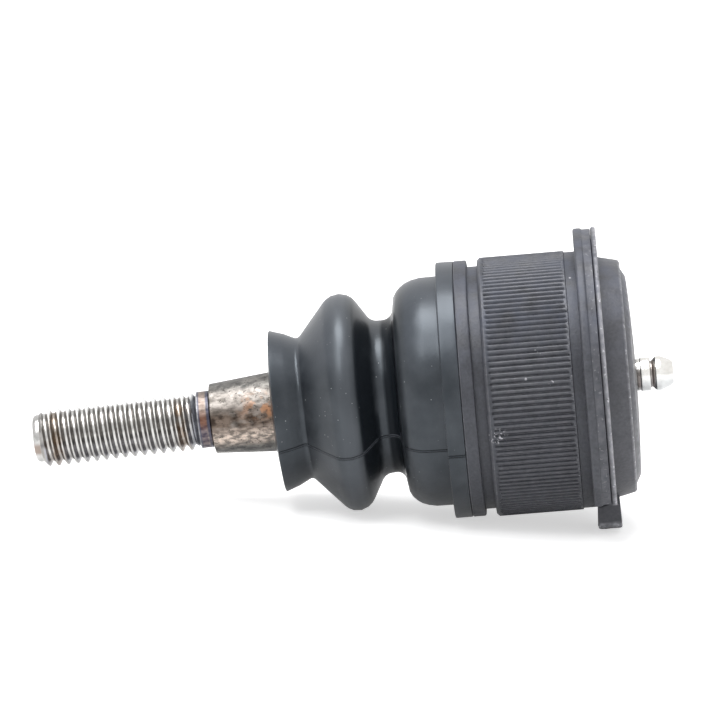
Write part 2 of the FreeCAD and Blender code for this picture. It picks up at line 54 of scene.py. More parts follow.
# The joint lies rolled on its axis by this much, so its surroundings are turned about X instead
ROLLED = math.radians(8.6)
SURROUNDINGS_TURN = Matrix.Rotation(ROLLED, 4, "X")


def in_scene(name, data):
    """A new object in the scene, for this mesh, lamp or camera."""
    made = bpy.data.objects.new(name, data)
    bpy.context.scene.collection.objects.link(made)
    return made


def rounded(corners, steps=6):
    """The line through (x, r, fillet) corners, with an arc of that radius at each corner."""
    line = []
    for index, (x, r, fillet) in enumerate(corners):
        here = Vector((x, r))
        if not fillet:
            line.append(here)
            continue
        before = (Vector(corners[index - 1][:2]) - here).normalized()
        after = (Vector(corners[(index + 1) % len(corners)][:2]) - here).normalized()
        half = before.angle(after) / 2
        centre = here + (before + after).normalized() * fillet / math.sin(half)
        first = here + before * fillet / math.tan(half) - centre
        last = here + after * fillet / math.tan(half) - centre
        for step in range(steps + 1):
            share = step / steps
            line.append(centre + (first * (1 - share) + last * share).normalized() * fillet)
    return line


def skin(name, points, material, wrap=True, crease=32, **values):
    """A mesh over a grid of points in millimetres, smooth but for edges of over crease degrees.

    Each value is kept on the points under its name.
    """
    same_place = 1e-7
    rows, columns = points.shape[:2]
    along, across = np.meshgrid(
        np.arange(rows - 1), np.arange(columns if wrap else columns - 1), indexing="ij"
    )
    following = (across + 1) % columns
    corners = (along * columns + across, along * columns + following,
               (along + 1) * columns + following, (along + 1) * columns + across)
    faces = np.stack(corners, axis=2).reshape(-1, 4)
    mesh = bpy.data.meshes.new(name)
    mesh.from_pydata((points.reshape(-1, 3) * MM).tolist(), [], faces.tolist())
    for key, value in values.items():
        layer = mesh.attributes.new(key, "FLOAT", "POINT")
        layer.data.foreach_set("value", value.reshape(-1).astype(np.float32))
    work = bmesh.new()
    work.from_mesh(mesh)
    bmesh.ops.remove_doubles(work, verts=work.verts, dist=same_place)
    bmesh.ops.recalc_face_normals(work, faces=work.faces)
    work.to_mesh(mesh)
    work.free()
    mesh.shade_smooth()
    mesh.set_sharp_from_angle(angle=math.radians(crease))
    mesh.materials.append(material)
    return in_scene(name, mesh)


def lathe(name, line, angles, material, relief=None, crease=32, **values):
    """A line of (x, r) points in millimetres turned about X.

    The relief and the values are functions of x, r and the angle. The relief is added to r.
    """
    line = np.array([tuple(point) for point in line])
    x, turn = np.meshgrid(line[:, 0], angles, indexing="ij")
    r = np.repeat(line[:, 1:], len(angles), axis=1)
    if relief is not None:
        r = r + relief(x, r, turn)
    points = np.stack((x, r * np.cos(turn), r * np.sin(turn)), axis=2)
    values = {key: value(x, r, turn) for key, value in values.items()}
    return skin(name, points, material, crease=crease, **values)


def around(count):
    """That many angles, evenly round the axis."""
    return np.arange(count) * TURN / count


def add_node(tree, kind, inputs, **settings):
    """A node of that kind. Each input, by name or number, is a link or a plain value."""
    made = tree.nodes.new("ShaderNode" + kind)
    for key, setting in settings.items():
        setattr(made, key, setting)
    for key, value in inputs.items():
        if isinstance(value, bpy.types.NodeSocket):
            tree.links.new(value, made.inputs[key])
        else:
            made.inputs[key].default_value = value
    return made


class Paint:
    """A procedural material, laid out in metres of the piece's own frame."""

    def __init__(self, name, metallic, roughness):
        self.material = bpy.data.materials.new(name)
        self.material.use_nodes = True
        self.tree = self.material.node_tree
        self.shader = self.tree.nodes["Principled BSDF"]
        self.fixed("Metallic", metallic)
        self.fixed("Roughness", roughness)
        self.place = self.node("TexCoord", {}).outputs["Object"]

    def node(self, kind, inputs, **settings):
        return add_node(self.tree, kind, inputs, **settings)

    def fixed(self, name, value):
        """One value of the shader for the whole surface."""
        self.shader.inputs[name].default_value = value

    def drive(self, name, value):
        """A value of the shader that varies over the surface."""
        self.tree.links.new(value, self.shader.inputs[name])

    def bump(self, height, distance):
        made = self.node("Bump", {"Height": height, "Distance": distance, "Strength": 1.0})
        self.drive("Normal", made.outputs[0])

    def value(self, name):
        """A value kept on the piece's points."""
        return self.node("Attribute", {}, attribute_name=name).outputs["Fac"]

    def noise(self, scale, detail=4.0, stretch=(1, 1, 1), shift=0.0):
        """Noise with features of about 1 / scale metres, drawn out where stretch is small."""
        place = {"Vector": self.place, "Location": (shift, shift, shift), "Scale": stretch}
        moved = self.node("Mapping", place).outputs[0]
        inputs = {"Vector": moved, "Scale": scale, "Detail": detail}
        return self.node("TexNoise", inputs).outputs["Fac"]

    def specks(self, scale, size, share, shift=0.0):
        """Small round specks, on a share of the cells of a Voronoi pattern."""
        place = {"Vector": self.place, "Location": (shift, shift, shift)}
        moved = self.node("Mapping", place).outputs[0]
        cells = self.node("TexVoronoi", {"Vector": moved, "Scale": scale}).outputs
        near = self.ramp01(cells["Distance"], size, size * 0.5)
        picked = self.node("SeparateColor", {"Color": cells["Color"]}).outputs[0]
        return self.times(near, self.ramp01(picked, share, share * 0.8))

    def ramp01(self, value, low, high):
        """0 at low and 1 at high, which may be the smaller one."""
        inputs = {"Value": value, "From Min": low, "From Max": high}
        return self.node("MapRange", inputs).outputs[0]

    def between(self, share, low, high):
        """From low to high as share goes from 0 to 1."""
        inputs = {"Value": share, "To Min": low, "To Max": high}
        return self.node("MapRange", inputs).outputs[0]

    def band(self, value, low, high, soft):
        """1 between low and high, with soft edges."""
        rising = self.ramp01(value, low - soft, low + soft)
        return self.times(rising, self.ramp01(value, high + soft, high - soft))

    def spot(self, centre, radius):
        """1 at a place as the joint lies, in millimetres, fading to 0 at that radius."""
        centre = SURROUNDINGS_TURN @ (Vector(centre) * MM)
        away = self.node("VectorMath", {0: self.place, 1: centre}, operation="DISTANCE")
        return self.ramp01(away.outputs["Value"], radius * MM, radius * 0.6 * MM)

    def sum(self, one, other):
        return self.node("Math", {0: one, 1: other}, operation="ADD").outputs[0]

    def times(self, one, other):
        return self.node("Math", {0: one, 1: other}, operation="MULTIPLY").outputs[0]

    def along(self):
        """The place along the axis, in metres."""
        return self.node("SeparateXYZ", {"Vector": self.place}).outputs["X"]

    def upward(self):
        """The height above the axis as the joint lies, in metres."""
        upright = Vector((0, -math.sin(ROLLED), math.cos(ROLLED)))
        made = self.node("VectorMath", {0: self.place, 1: upright}, operation="DOT_PRODUCT")
        return made.outputs["Value"]

    def mix(self, share, one, other):
        """From one colour to the other as share goes from 0 to 1."""
        one, other = (
            (*colour, 1.0) if isinstance(colour, tuple) else colour for colour in (one, other)
        )
        return self.node("Mix", {0: share, 6: one, 7: other}, data_type="RGBA").outputs[2]


def black_steel(name, dark, light, worn_and_highlight_colour, scuffs=()):
    """Blackened steel: cloudy, with painted shade in the valleys and a painted sheen on top, bright
    worn edges and painted highlights, nicks and scuffed places.
    """
    painted_sky_sheen = (0.085, 0.098, 0.140)
    painted_valley_shade = (0.012, 0.012, 0.014)
    bare_steel = (0.5, 0.5, 0.53)
    nick_grey = (0.42, 0.42, 0.45)
    paint = Paint(name, metallic=0.25, roughness=0.46)
    cloudy = paint.ramp01(paint.noise(260, detail=5.0), 0.35, 0.66)
    fine = paint.ramp01(paint.noise(1800, detail=3.0, shift=2.0), 0.35, 0.7)
    colour = paint.mix(paint.times(paint.sum(cloudy, fine), 0.5), dark, light)
    # Painted sheen: the upper side is painted bluer and lighter, as where the sky lights it
    bluish = paint.times(paint.ramp01(paint.upward(), 0.006, 0.016), cloudy)
    colour = paint.mix(paint.times(bluish, 0.4), colour, painted_sky_sheen)
    # Painted shade: the serrations' valleys are painted near black
    colour = paint.mix(paint.value("valley"), colour, painted_valley_shade)
    # Patches of the bright colour where the wear values say: real wear, and painted highlights on
    # the cover and the flange's band
    lighter_tone = paint.ramp01(paint.noise(700, detail=5.0, shift=4.0), 0.22, 0.7)
    colour = paint.mix(paint.times(paint.value("wear"), lighter_tone), colour, worn_and_highlight_colour)
    most_worn = paint.ramp01(paint.value("wear"), 0.2, 0.7)
    bare = paint.times(most_worn, paint.ramp01(paint.noise(1300, detail=3.0), 0.62, 0.68))
    colour = paint.mix(bare, colour, bare_steel)
    nicks = paint.specks(420, size=0.13, share=0.04)
    chipped = paint.noise(2100, detail=2.0, stretch=(1, 0.6, 1), shift=8.0)
    chipped = paint.ramp01(chipped, 0.57, 0.63)
    chipped = paint.times(chipped, paint.ramp01(paint.value("valley"), 0.5, 0.2))
    for *centre, radius in scuffs:
        nicks = paint.sum(nicks, paint.times(paint.spot(centre, radius), chipped))
    paint.drive("Base Color", paint.mix(nicks, colour, nick_grey))
    paint.drive("Roughness", paint.between(cloudy, 0.38, 0.54))
    paint.bump(fine, 0.00002)
    return paint.material


# Scuffed places on the serrations, as x, y, z and radius in millimetres
HOUSING_SCUFFS = ((1.2, -23.2, -5.2, 2.0), (9.9, -22.3, 9.9, 0.8), (11.8, -24.1, 4.0, 0.7))
housing_black = black_steel(
    "housing_black", dark=(0.033, 0.035, 0.043), light=(0.062, 0.0655, 0.078),
    worn_and_highlight_colour=(0.24, 0.24, 0.26), scuffs=HOUSING_SCUFFS,
)

# Places along the axis from the front to the back, then radii, in millimetres
SNOUT_FRONT = -8.2
COLLAR_FRONT = -5.0
GROOVE_START = -2.5
SEAT_START = -0.5
SEAT_END = 15.8
FLANGE_FRONT = 17.85
HOUSING_BACK = 21.1
MOUTH_RADIUS = 13.1
BORE_RADIUS = 18.6
SNOUT_RADIUS = 19.6
GROOVE_RADIUS = 22.9
LAND_RADIUS = 24.18
SEAT_RADIUS = 24.45

SERRATIONS = 141
SERRATION_DEPTH = 0.42
SERRATION_FACETS = (0.0, 0.18, 0.38, 0.52, 0.62, 0.72, 0.84)
SERRATION_HEIGHTS = (1.0, 0.96, 0.72, 0.28, 0.0, 0.12, 0.76)
SERRATED_FROM = SEAT_START + 1.0
SERRATED_TO = SEAT_END - 0.1
SERRATED_ABOVE = 24.3
# Each tooth fades in and out over this length, and starts and ends a little off the line
SERRATION_FADE = 0.25
tooth_random = np.random.default_rng(7)
tooth_start = SERRATED_FROM + tooth_random.uniform(-0.12, 0.2, SERRATIONS)
tooth_end = SERRATED_TO + tooth_random.uniform(-0.45, 0.1, SERRATIONS)
serration_angles = np.array([
    (tooth + share) * TURN / SERRATIONS
    for tooth in range(SERRATIONS) for share in SERRATION_FACETS
])


def serration_depth(x, r, turn):
    """How deep the serrations are cut at each point of the seat, from 0 to 1."""
    tooth = np.floor(turn * SERRATIONS / TURN + 1e-6).astype(int) % SERRATIONS
    facet = np.tile(np.arange(len(SERRATION_FACETS)), SERRATIONS)[None, :]
    cut = 1 - np.array(SERRATION_HEIGHTS)[facet]
    run_in = np.clip((x - tooth_start[tooth]) / SERRATION_FADE, 0, 1)
    run_out = np.clip((tooth_end[tooth] - x) / SERRATION_FADE, 0, 1)
    return cut * run_in * run_out * (r > SERRATED_ABOVE)


def housing_relief(x, r, turn):
    return -SERRATION_DEPTH * serration_depth(x, r, turn)


def housing_wear(x, r, turn):
    """Where bright steel shows: the serrations' back ends and crests and the turned edges."""
    back_ends = np.exp(-((x - SERRATED_TO + 0.1) / 0.22) ** 2)
    back_ends = back_ends * (serration_depth(x - 0.4, r, turn) > 0)
    seat_edge = np.abs(x - SEAT_START - 0.52) < 0.15
    collar_edge = np.abs(x - COLLAR_FRONT - 0.1) < 0.08
    serrated = (x > SERRATED_FROM + 0.3) & (x < SERRATED_TO - 0.3)
    crests = serrated & (serration_depth(x, r, turn) < 0.1)
    return np.clip(0.45 * back_ends + 0.3 * (seat_edge | collar_edge) + 0.22 * crests, 0, 1)


# Rows of points on the seat, closer together where the teeth begin and end
SEAT_ROWS = (0.7, 0.9, 1.15, 1.4, 1.7, 5.0, 8.0, 11.0, 14.0, 15.2, 15.55, 15.8, 16.0, 16.2)
# From the mouth over snout, collar, groove, seat and band to the back, then the bore and its cone
housing_line = rounded([
    (SNOUT_FRONT, MOUTH_RADIUS, 0), (SNOUT_FRONT, SNOUT_RADIUS, 0.3),
    (COLLAR_FRONT, SNOUT_RADIUS, 0), (COLLAR_FRONT, LAND_RADIUS, 0.25),
    (GROOVE_START, LAND_RADIUS, 0.35), (GROOVE_START, GROOVE_RADIUS, 0),
    (SEAT_START, GROOVE_RADIUS, 0), (SEAT_START, SEAT_RADIUS - 0.5, 0.15),
    (SEAT_START + 0.5, SEAT_RADIUS, 0.15),
    *[(SEAT_START + row, SEAT_RADIUS, 0) for row in SEAT_ROWS],
    (SEAT_END, SEAT_RADIUS, 0), (SEAT_END + 0.12, LAND_RADIUS, 0),
    (HOUSING_BACK, LAND_RADIUS, 0), (HOUSING_BACK, BORE_RADIUS, 0), (0.5, BORE_RADIUS, 0),
    (-6.6, 14.66, 0), (-6.6, 14.0, 0), (SNOUT_FRONT, MOUTH_RADIUS, 0),
], steps=4)
housing_turned = lathe(
    "housing_turned", housing_line, serration_angles, housing_black, housing_relief,
    valley=serration_depth, wear=housing_wear,
)
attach(housing_turned, "body")
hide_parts("housing")

LUG_HALF_WIDTH = 6.0
NOTCH_FLOOR = 23.45
# The rim's section goes over into the lug's plain block along this length past the notches' floor
LUG_BEGINS = 0.1
LUG_BLEND = 0.5
# The lug's lowest part is worn and torn, the more the lower
LUG_TORN = 1.6
LUG_TORN_BLEND = 0.8


def rim_outline(radius):
    """The rim's outline in the YZ plane, and its outward normals, for that radius."""
    step = 0.2
    times_softened = 3
    lug_end = math.sqrt(radius ** 2 - LUG_HALF_WIDTH ** 2)
    notch_end = math.sqrt(radius ** 2 - NOTCH_FLOOR ** 2)
    round_part = math.atan2(-NOTCH_FLOOR, notch_end)
    lug_part = math.atan2(-lug_end, LUG_HALF_WIDTH)

    def arc(first, last):
        count = max(int(radius * abs(last - first) / step), 2)
        turns = np.linspace(first, last, count, endpoint=False)
        return np.stack((np.cos(turns), np.sin(turns)), axis=1) * radius

    def straight(first, last):
        count = max(int(math.dist(first, last) / step), 2)
        return np.linspace(first, last, count, endpoint=False)

    path = np.concatenate((
        arc(round_part, math.pi - round_part),
        straight((-notch_end, -NOTCH_FLOOR), (-LUG_HALF_WIDTH, -NOTCH_FLOOR)),
        straight((-LUG_HALF_WIDTH, -NOTCH_FLOOR), (-LUG_HALF_WIDTH, -lug_end)),
        arc(-math.pi - lug_part, lug_part),
        straight((LUG_HALF_WIDTH, -lug_end), (LUG_HALF_WIDTH, -NOTCH_FLOOR)),
        straight((LUG_HALF_WIDTH, -NOTCH_FLOOR), (notch_end, -NOTCH_FLOOR)),
    ))
    for repeat in range(times_softened):
        path = (np.roll(path, 1, axis=0) + path + np.roll(path, -1, axis=0)) / 3
    along = np.roll(path, -1, axis=0) - np.roll(path, 1, axis=0)
    along /= np.linalg.norm(along, axis=1)[:, None]
    return path, np.stack((along[:, 1], -along[:, 0]), axis=1)


def rim(name, radius, inner_start, inner_end, section, material, wear_rows, lug_from, lug_to,
        lug_inset=0.0, rough=0.0):
    """A rim with that outline. The section is (x, inset) pairs from the front to the back.

    The first and last rows lie on circles of the radii inner_start and inner_end. The wear rows
    say how bright each row is, from wear and from painted highlights. In the lug the section is a
    plain block, sheared off flat between lug_from and lug_to, inset by lug_inset and torn below by
    about rough millimetres.
    """
    path, outward = rim_outline(radius)
    toward = path / np.linalg.norm(path, axis=1)[:, None]
    sheared = np.clip((-path[:, 1] - NOTCH_FLOOR - LUG_BEGINS) / LUG_BLEND, 0, 1)
    sheared = sheared * (np.abs(path[:, 0]) < LUG_HALF_WIDTH + 0.3)
    under_lug = np.clip((-path[:, 1] - radius + LUG_TORN) / LUG_TORN_BLEND, 0, 1)
    torn = np.random.default_rng(11).normal(0, 1, (len(section) + 2, len(path)))
    torn = (torn + np.roll(torn, 1, axis=1) + np.roll(torn, 2, axis=1)) / 3
    rows = [(section[0][0], toward * inner_start)]
    for x, inset in section:
        kept = inset + (lug_inset + inset * 0.25 - inset) * sheared
        rows.append((x, path - outward * kept[:, None]))
    rows.append((section[-1][0], toward * inner_end))
    points = np.zeros((len(rows), len(path), 3))
    for number, (x, row) in enumerate(rows):
        share = (x - section[0][0]) / (section[-1][0] - section[0][0])
        lug_x = lug_from + (lug_to - lug_from) * share
        points[number, :, 0] = x + (lug_x - x) * sheared
        points[number, :, 1:] = row
    inside = slice(1, len(rows) - 1)
    ragged = torn[inside] * under_lug * rough
    points[inside, :, 2] += np.abs(ragged)
    points[inside, :, 0] += ragged * 0.6
    wear = np.zeros(points.shape[:2])
    for number, amount in wear_rows.items():
        wear[number] = amount
    wear[inside] = np.maximum(wear[inside] * (1 - sheared), under_lug * 0.9)
    valley = np.zeros(points.shape[:2])
    return skin(name, points, material, crease=40, valley=valley, wear=wear)


# As (distance behind the flange's front, inset from its radius)
ridge_section = ((0.0, 0.5), (0.03, 0.3), (0.14, 0.12), (0.32, 0.02), (0.5, 0.0), (1.3, 0.0),
                 (1.48, 0.05), (1.6, 0.12), (1.68, 0.22), (1.8, 0.27))
flange_section = [(FLANGE_FRONT + x, inset) for x, inset in ridge_section]
flange_section += [(20.95, 0.27), (21.08, 0.3), (21.14, 0.5)]
# The band behind the ridge is painted lighter, a painted highlight where it lies in shade; the
# ridge's top is lightly worn
flange = rim(
    "flange", radius=28.48, inner_start=23.9, inner_end=23.9, section=flange_section,
    material=housing_black, lug_from=18.6, lug_to=21.1, lug_inset=0.25,
    wear_rows={4: 0.16, 5: 0.1, 6: 0.1, 7: 0.15, 9: 0.15, 10: 0.3, 11: 0.3},
)
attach(flange, "body")


# ---- Cover ----
# Pressed from sheet steel and closed into the housing: a flat rim on the flange, a coned cup with a
# rounded shoulder, and a low dome with the hole for the grease fitting.
DOME_EDGE = 27.15
DOME_RISE = 0.6
DOME_RADIUS = 18.6
FITTING_HOLE = 2.9
cover_black = black_steel(
    "cover_black", dark=(0.048, 0.049, 0.057), light=(0.084, 0.086, 0.098),
    worn_and_highlight_colour=(0.40, 0.40, 0.43),
)
rim_section = ((21.2, 0.5), (21.24, 0.2), (21.32, 0.06), (21.48, 0.0), (21.85, 0.0),
               (22.02, 0.06), (22.12, 0.2), (22.15, 0.4))
# The rim's back half and edge are painted bright, a painted highlight; the lug's torn underside is
# worn bright
cover_rim = rim(
    "cover_rim", radius=28.49, inner_start=23.5, inner_end=22.3, section=rim_section,
    material=cover_black, lug_from=18.5, lug_to=22.7, rough=0.28,
    wear_rows={4: 0.25, 5: 0.75, 6: 1.0, 7: 0.7},
)
dome_line = [(DOME_EDGE + DOME_RISE * (1 - (r / DOME_RADIUS) ** 2), r, 0)
             for r in (17.6, 15.0, 12.0, 9.0, 6.0, 3.2)]
# From the rim over the cup and the dome to the hole, and back inside
cover_line = rounded([
    (22.0, 22.95, 0), (22.2, 22.75, 0.15), (26.2, 21.85, 0.7), (26.2, 20.35, 0.5),
    (27.1, 18.75, 0.6), *dome_line, (27.75, FITTING_HOLE, 0), (26.55, FITTING_HOLE, 0),
    (25.9, 18.2, 0.4), (25.0, 19.7, 0.3), (25.0, 20.7, 0.3), (21.25, 21.5, 0),
    (21.25, 22.95, 0),
])


def cover_wear(x, r, turn):
    """Where painted highlights lie, in the bright colour: along the cup's shoulder and the edge of
    the dome.
    """
    shoulder = np.exp(-((x - 26.1) / 0.3) ** 2) * (r > 21)
    dome_edge = np.exp(-((r - 18.8) / 0.35) ** 2)
    return 0.6 * shoulder + 0.4 * dome_edge


def no_valley(x, r, turn):
    return np.zeros_like(x)


cover_cup = lathe(
    "cover_cup", cover_line, around(240), cover_black, wear=cover_wear, valley=no_valley,
)
for piece in (cover_rim, cover_cup):
    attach(piece, "body")
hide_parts("cover")


# ---- Ball stud ----
# One forging: ball, neck, ground taper, relief, rolled thread and turned nose. The taper carries a
# mottled brown oxide, the relief has temper colours, and the thread has painted glints on its
# crests.
STUD_DROOP = math.radians(1.93)
BALL_RADIUS = 15.0
THREAD_RADIUS = 5.555
THREAD_ROOT = 4.575
THREAD_PITCH = 1.8143
THREAD_FROM = -85.36
THREAD_TO = -55.35
THREAD_PHASE = -0.493
# How much of its height the thread gains in the first millimetre, and the share of that at its end
THREAD_RUN_IN = 0.95
THREAD_RUN_OUT = 0.8
# One turn of the thread's section, as (share of the pitch, height from root to crest)
THREAD_SECTION = ((0.0, 1.0), (0.04, 1.0), (0.07, 0.96), (0.145, 0.73), (0.22, 0.49),
                  (0.295, 0.25), (0.37, 0.03), (0.40, 0.0), (0.5, 0.0), (0.60, 0.0),
                  (0.63, 0.03), (0.705, 0.25), (0.78, 0.49), (0.855, 0.73), (0.93, 0.96),
                  (0.96, 1.0))


def stud_place(piece):
    """Lays a piece made along X on the stud's drooping axis."""
    piece.matrix_world = Matrix.Rotation(-STUD_DROOP, 4, "Y")
    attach(piece, "stud")


def thread_steel():
    """Streaky bare steel with two rusty bands, and painted light: glints on crests and roots, a
    painted reflection on the lower rear flanks, painted shade in two bands and glare on top.
    """
    rust = (0.20, 0.13, 0.075)
    blued = (0.20, 0.21, 0.24)
    white = (0.96, 0.96, 0.95)
    paint = Paint("thread_steel", metallic=1.0, roughness=0.26)
    along = paint.along()
    up = paint.upward()
    height = paint.value("height")
    streaks = paint.ramp01(paint.noise(900, detail=5.0, stretch=(0.6, 1, 1)), 0.3, 0.7)
    grey = paint.mix(streaks, (0.22, 0.21, 0.20), (0.36, 0.35, 0.335))
    painted_reflection_grey = paint.mix(streaks, (0.26, 0.26, 0.28), (0.40, 0.40, 0.43))
    painted_shade_grey = paint.mix(streaks, (0.12, 0.115, 0.115), (0.23, 0.225, 0.22))
    bright = paint.mix(streaks, (0.44, 0.43, 0.42), (0.66, 0.65, 0.635))
    # Painted reflection: the lower rear flanks are painted a lighter lavender grey
    low = paint.ramp01(up, -0.0006, -0.0014)
    flank = paint.mix(paint.times(low, paint.value("rear")), grey, painted_reflection_grey)
    # Painted shade: a dark band just below the middle and another at the bottom
    flank = paint.mix(paint.band(up, -0.0011, -0.0001, soft=0.0004), flank, painted_shade_grey)
    flank = paint.mix(paint.ramp01(up, -0.0036, -0.0047), flank, painted_shade_grey)
    # Painted glints on the crests and roots
    painted_glint = paint.sum(paint.ramp01(height, 0.84, 1.0), paint.ramp01(height, 0.05, 0.0))
    steel = paint.mix(painted_glint, flank, bright)
    near_nose = paint.band(along, -0.0836, -0.0812, soft=0.0010)
    near_end = paint.band(along, -0.0594, -0.0572, soft=0.0010)
    patches = paint.ramp01(paint.noise(420, detail=3.0, shift=3.0), 0.38, 0.6)
    rusty = paint.times(paint.sum(near_nose, near_end), patches)
    steel = paint.mix(paint.times(rusty, 0.7), steel, rust)
    run_out = paint.ramp01(along, -0.0570, -0.0565)
    steel = paint.mix(paint.times(run_out, 0.8), steel, blued)
    # Painted glare: white on the thread's top, from mid flank to crest
    glare = paint.times(paint.ramp01(up, 0.0042, 0.0050), paint.ramp01(height, 0.35, 0.65))
    paint.drive("Base Color", paint.mix(glare, steel, white))
    paint.bump(paint.noise(2500, detail=3.0), 0.00001)
    return paint.material


def thread_grid():
    """The helix's points, their height from root to crest, and 1 on the rear flank."""
    turns = np.linspace(0, TURN, 97)
    first_turn = math.floor(THREAD_FROM / THREAD_PITCH) - 2
    last_turn = math.ceil(THREAD_TO / THREAD_PITCH) + 1
    rows = np.array([
        (turn + share, height)
        for turn in range(first_turn, last_turn) for share, height in THREAD_SECTION
    ])
    x = (rows[:, :1] + turns[None, :] / TURN) * THREAD_PITCH + THREAD_PHASE
    x = np.clip(x, THREAD_FROM, THREAD_TO)
    height = np.repeat(rows[:, 1:], len(turns), axis=1)
    from_end = np.minimum(x - THREAD_FROM, (THREAD_TO - x) * THREAD_RUN_OUT)
    height = np.minimum(height, from_end * THREAD_RUN_IN)
    rear = np.repeat((rows[:, :1] % 1 < 0.5) * 1.0, len(turns), axis=1)
    r = THREAD_ROOT + (THREAD_RADIUS - THREAD_ROOT) * height
    return np.stack((x, r * np.cos(turns), r * np.sin(turns)), axis=2), height, rear


thread_points, thread_height, thread_rear = thread_grid()
thread = skin(
    "thread", thread_points, thread_steel(), wrap=False, crease=80, height=thread_height,
    rear=thread_rear,
)
stud_place(thread)


def nose_steel():
    """Bare turned steel with a brown band just below mid height."""
    mid_band_brown = (0.30, 0.25, 0.22)
    paint = Paint("nose_steel", metallic=1.0, roughness=0.24)
    tone = paint.ramp01(paint.noise(500), 0.3, 0.7)
    colour = paint.mix(tone, (0.38, 0.38, 0.37), (0.62, 0.61, 0.60))
    # Browner in a band just below mid height
    mid_band = paint.band(paint.upward(), -0.0024, -0.0004, soft=0.0004)
    paint.drive("Base Color", paint.mix(mid_band, colour, mid_band_brown))
    return paint.material


nose_line = rounded([
    (-85.1, 4.3, 0), (-85.25, 4.5, 0), (-86.66, 4.5, 0.8), (-86.66, 0.01, 0),
])
nose = lathe("nose", nose_line, around(72), nose_steel())
stud_place(nose)


def blank_steel():
    """Mottled oxide on the taper, temper colours on the relief and bare steel inside the boot."""
    copper_red = (0.50, 0.25, 0.13)
    pit_black = (0.035, 0.03, 0.027)
    line_blue = (0.05, 0.055, 0.09)
    ground = (0.45, 0.45, 0.46)
    paint = Paint("blank_steel", metallic=0.85, roughness=0.4)
    along = paint.along()
    up = paint.upward()
    mottle = paint.noise(1000, detail=6.0, stretch=(0.55, 1, 1), shift=5.0)
    mottle = paint.ramp01(mottle, 0.36, 0.62)
    grain = paint.noise(1500, detail=7.0, stretch=(0.5, 1, 1), shift=9.0)
    grain = paint.ramp01(grain, 0.42, 0.62)
    patches = paint.noise(330, detail=5.0, stretch=(0.6, 1, 1), shift=1.0)

    # The taper, in bands by height: dull at the top, then pale, darkest round the middle, freckled,
    # and dull again
    pale = paint.mix(mottle, (0.16, 0.145, 0.13), (0.37, 0.34, 0.315))
    dull = paint.mix(mottle, (0.085, 0.083, 0.08), (0.22, 0.21, 0.195))
    freckled = paint.mix(grain, (0.19, 0.165, 0.145), (0.66, 0.55, 0.47))
    darkest_middle_colour = paint.mix(mottle, (0.030, 0.018, 0.012), (0.15, 0.11, 0.085))
    oxide = paint.mix(paint.ramp01(up, 0.0050, 0.0062), pale, dull)
    oxide = paint.mix(paint.ramp01(up, -0.0003, -0.0016), oxide, freckled)
    oxide = paint.mix(paint.ramp01(up, -0.0036, -0.0052), oxide, dull)
    middle = paint.band(up, -0.0017, 0.0024, soft=0.0011)
    darkest_middle = paint.times(middle, paint.ramp01(patches, 0.27, 0.43))
    oxide = paint.mix(paint.times(darkest_middle, 0.92), oxide, darkest_middle_colour)
    near_boot = paint.ramp01(along, -0.0480, -0.0425)
    upper = paint.band(up, 0.0006, 0.0044, soft=0.0008)
    copper = paint.ramp01(paint.noise(520, shift=12.0), 0.47, 0.58)
    copper = paint.times(paint.times(copper, near_boot), upper)
    oxide = paint.mix(paint.times(copper, 0.7), oxide, copper_red)
    pits = paint.ramp01(paint.noise(1900, shift=6.0), 0.60, 0.67)
    oxide = paint.mix(paint.times(pits, 0.75), oxide, pit_black)

    # The relief: a blue band, then one that goes from straw at the top through red to purple
    bluish = paint.mix(mottle, (0.19, 0.19, 0.20), (0.34, 0.34, 0.36))
    straw = paint.mix(mottle, (0.17, 0.13, 0.11), (0.32, 0.265, 0.235))
    reddish = paint.mix(mottle, (0.11, 0.048, 0.03), (0.21, 0.11, 0.08))
    purple = paint.mix(mottle, (0.06, 0.05, 0.07), (0.23, 0.19, 0.19))
    coppery = paint.mix(paint.ramp01(up, 0.0012, 0.0028), reddish, straw)
    coppery = paint.mix(paint.ramp01(up, 0.0002, -0.0014), coppery, purple)
    blue_band = paint.band(along, -0.05560, -0.05490, soft=0.00015)
    oxide = paint.mix(blue_band, oxide, bluish)
    copper_band = paint.band(along, -0.05490, -0.05355, soft=0.0002)
    oxide = paint.mix(copper_band, oxide, coppery)
    lines = paint.sum(
        paint.band(along, -0.05350, -0.05285, soft=0.00012),
        paint.band(along, -0.05505, -0.05480, soft=0.00008),
    )
    oxide = paint.mix(paint.times(lines, 0.8), oxide, line_blue)

    inside_boot = paint.ramp01(along, -0.0400, -0.0380)
    paint.drive("Base Color", paint.mix(inside_boot, oxide, ground))
    paint.bump(mottle, 0.00004)
    return paint.material


ball_line = [(BALL_RADIUS * math.cos(angle), BALL_RADIUS * math.sin(angle), 0)
             for angle in np.linspace(math.radians(149), math.radians(23.1), 40)]
# Relief, step, taper, neck and ball, with the flat at the ball's back
blank_line = rounded([
    (-55.45, 4.5, 0), (-55.3, 5.36, 0.1), (-53.0, 5.36, 0), (-52.78, 5.1, 0), (-52.72, 5.3, 0),
    (-52.7, 6.585, 0.25), (-46.0, 7.1433, 0), (-38.5, 7.768, 0.5), (-14.3, 7.5, 1.2),
    *ball_line, (13.8, 5.88, 0), (13.8, 0.01, 0),
])
blank = lathe("stud_blank", blank_line, around(128), blank_steel())
stud_place(blank)
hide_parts("ball_stud")


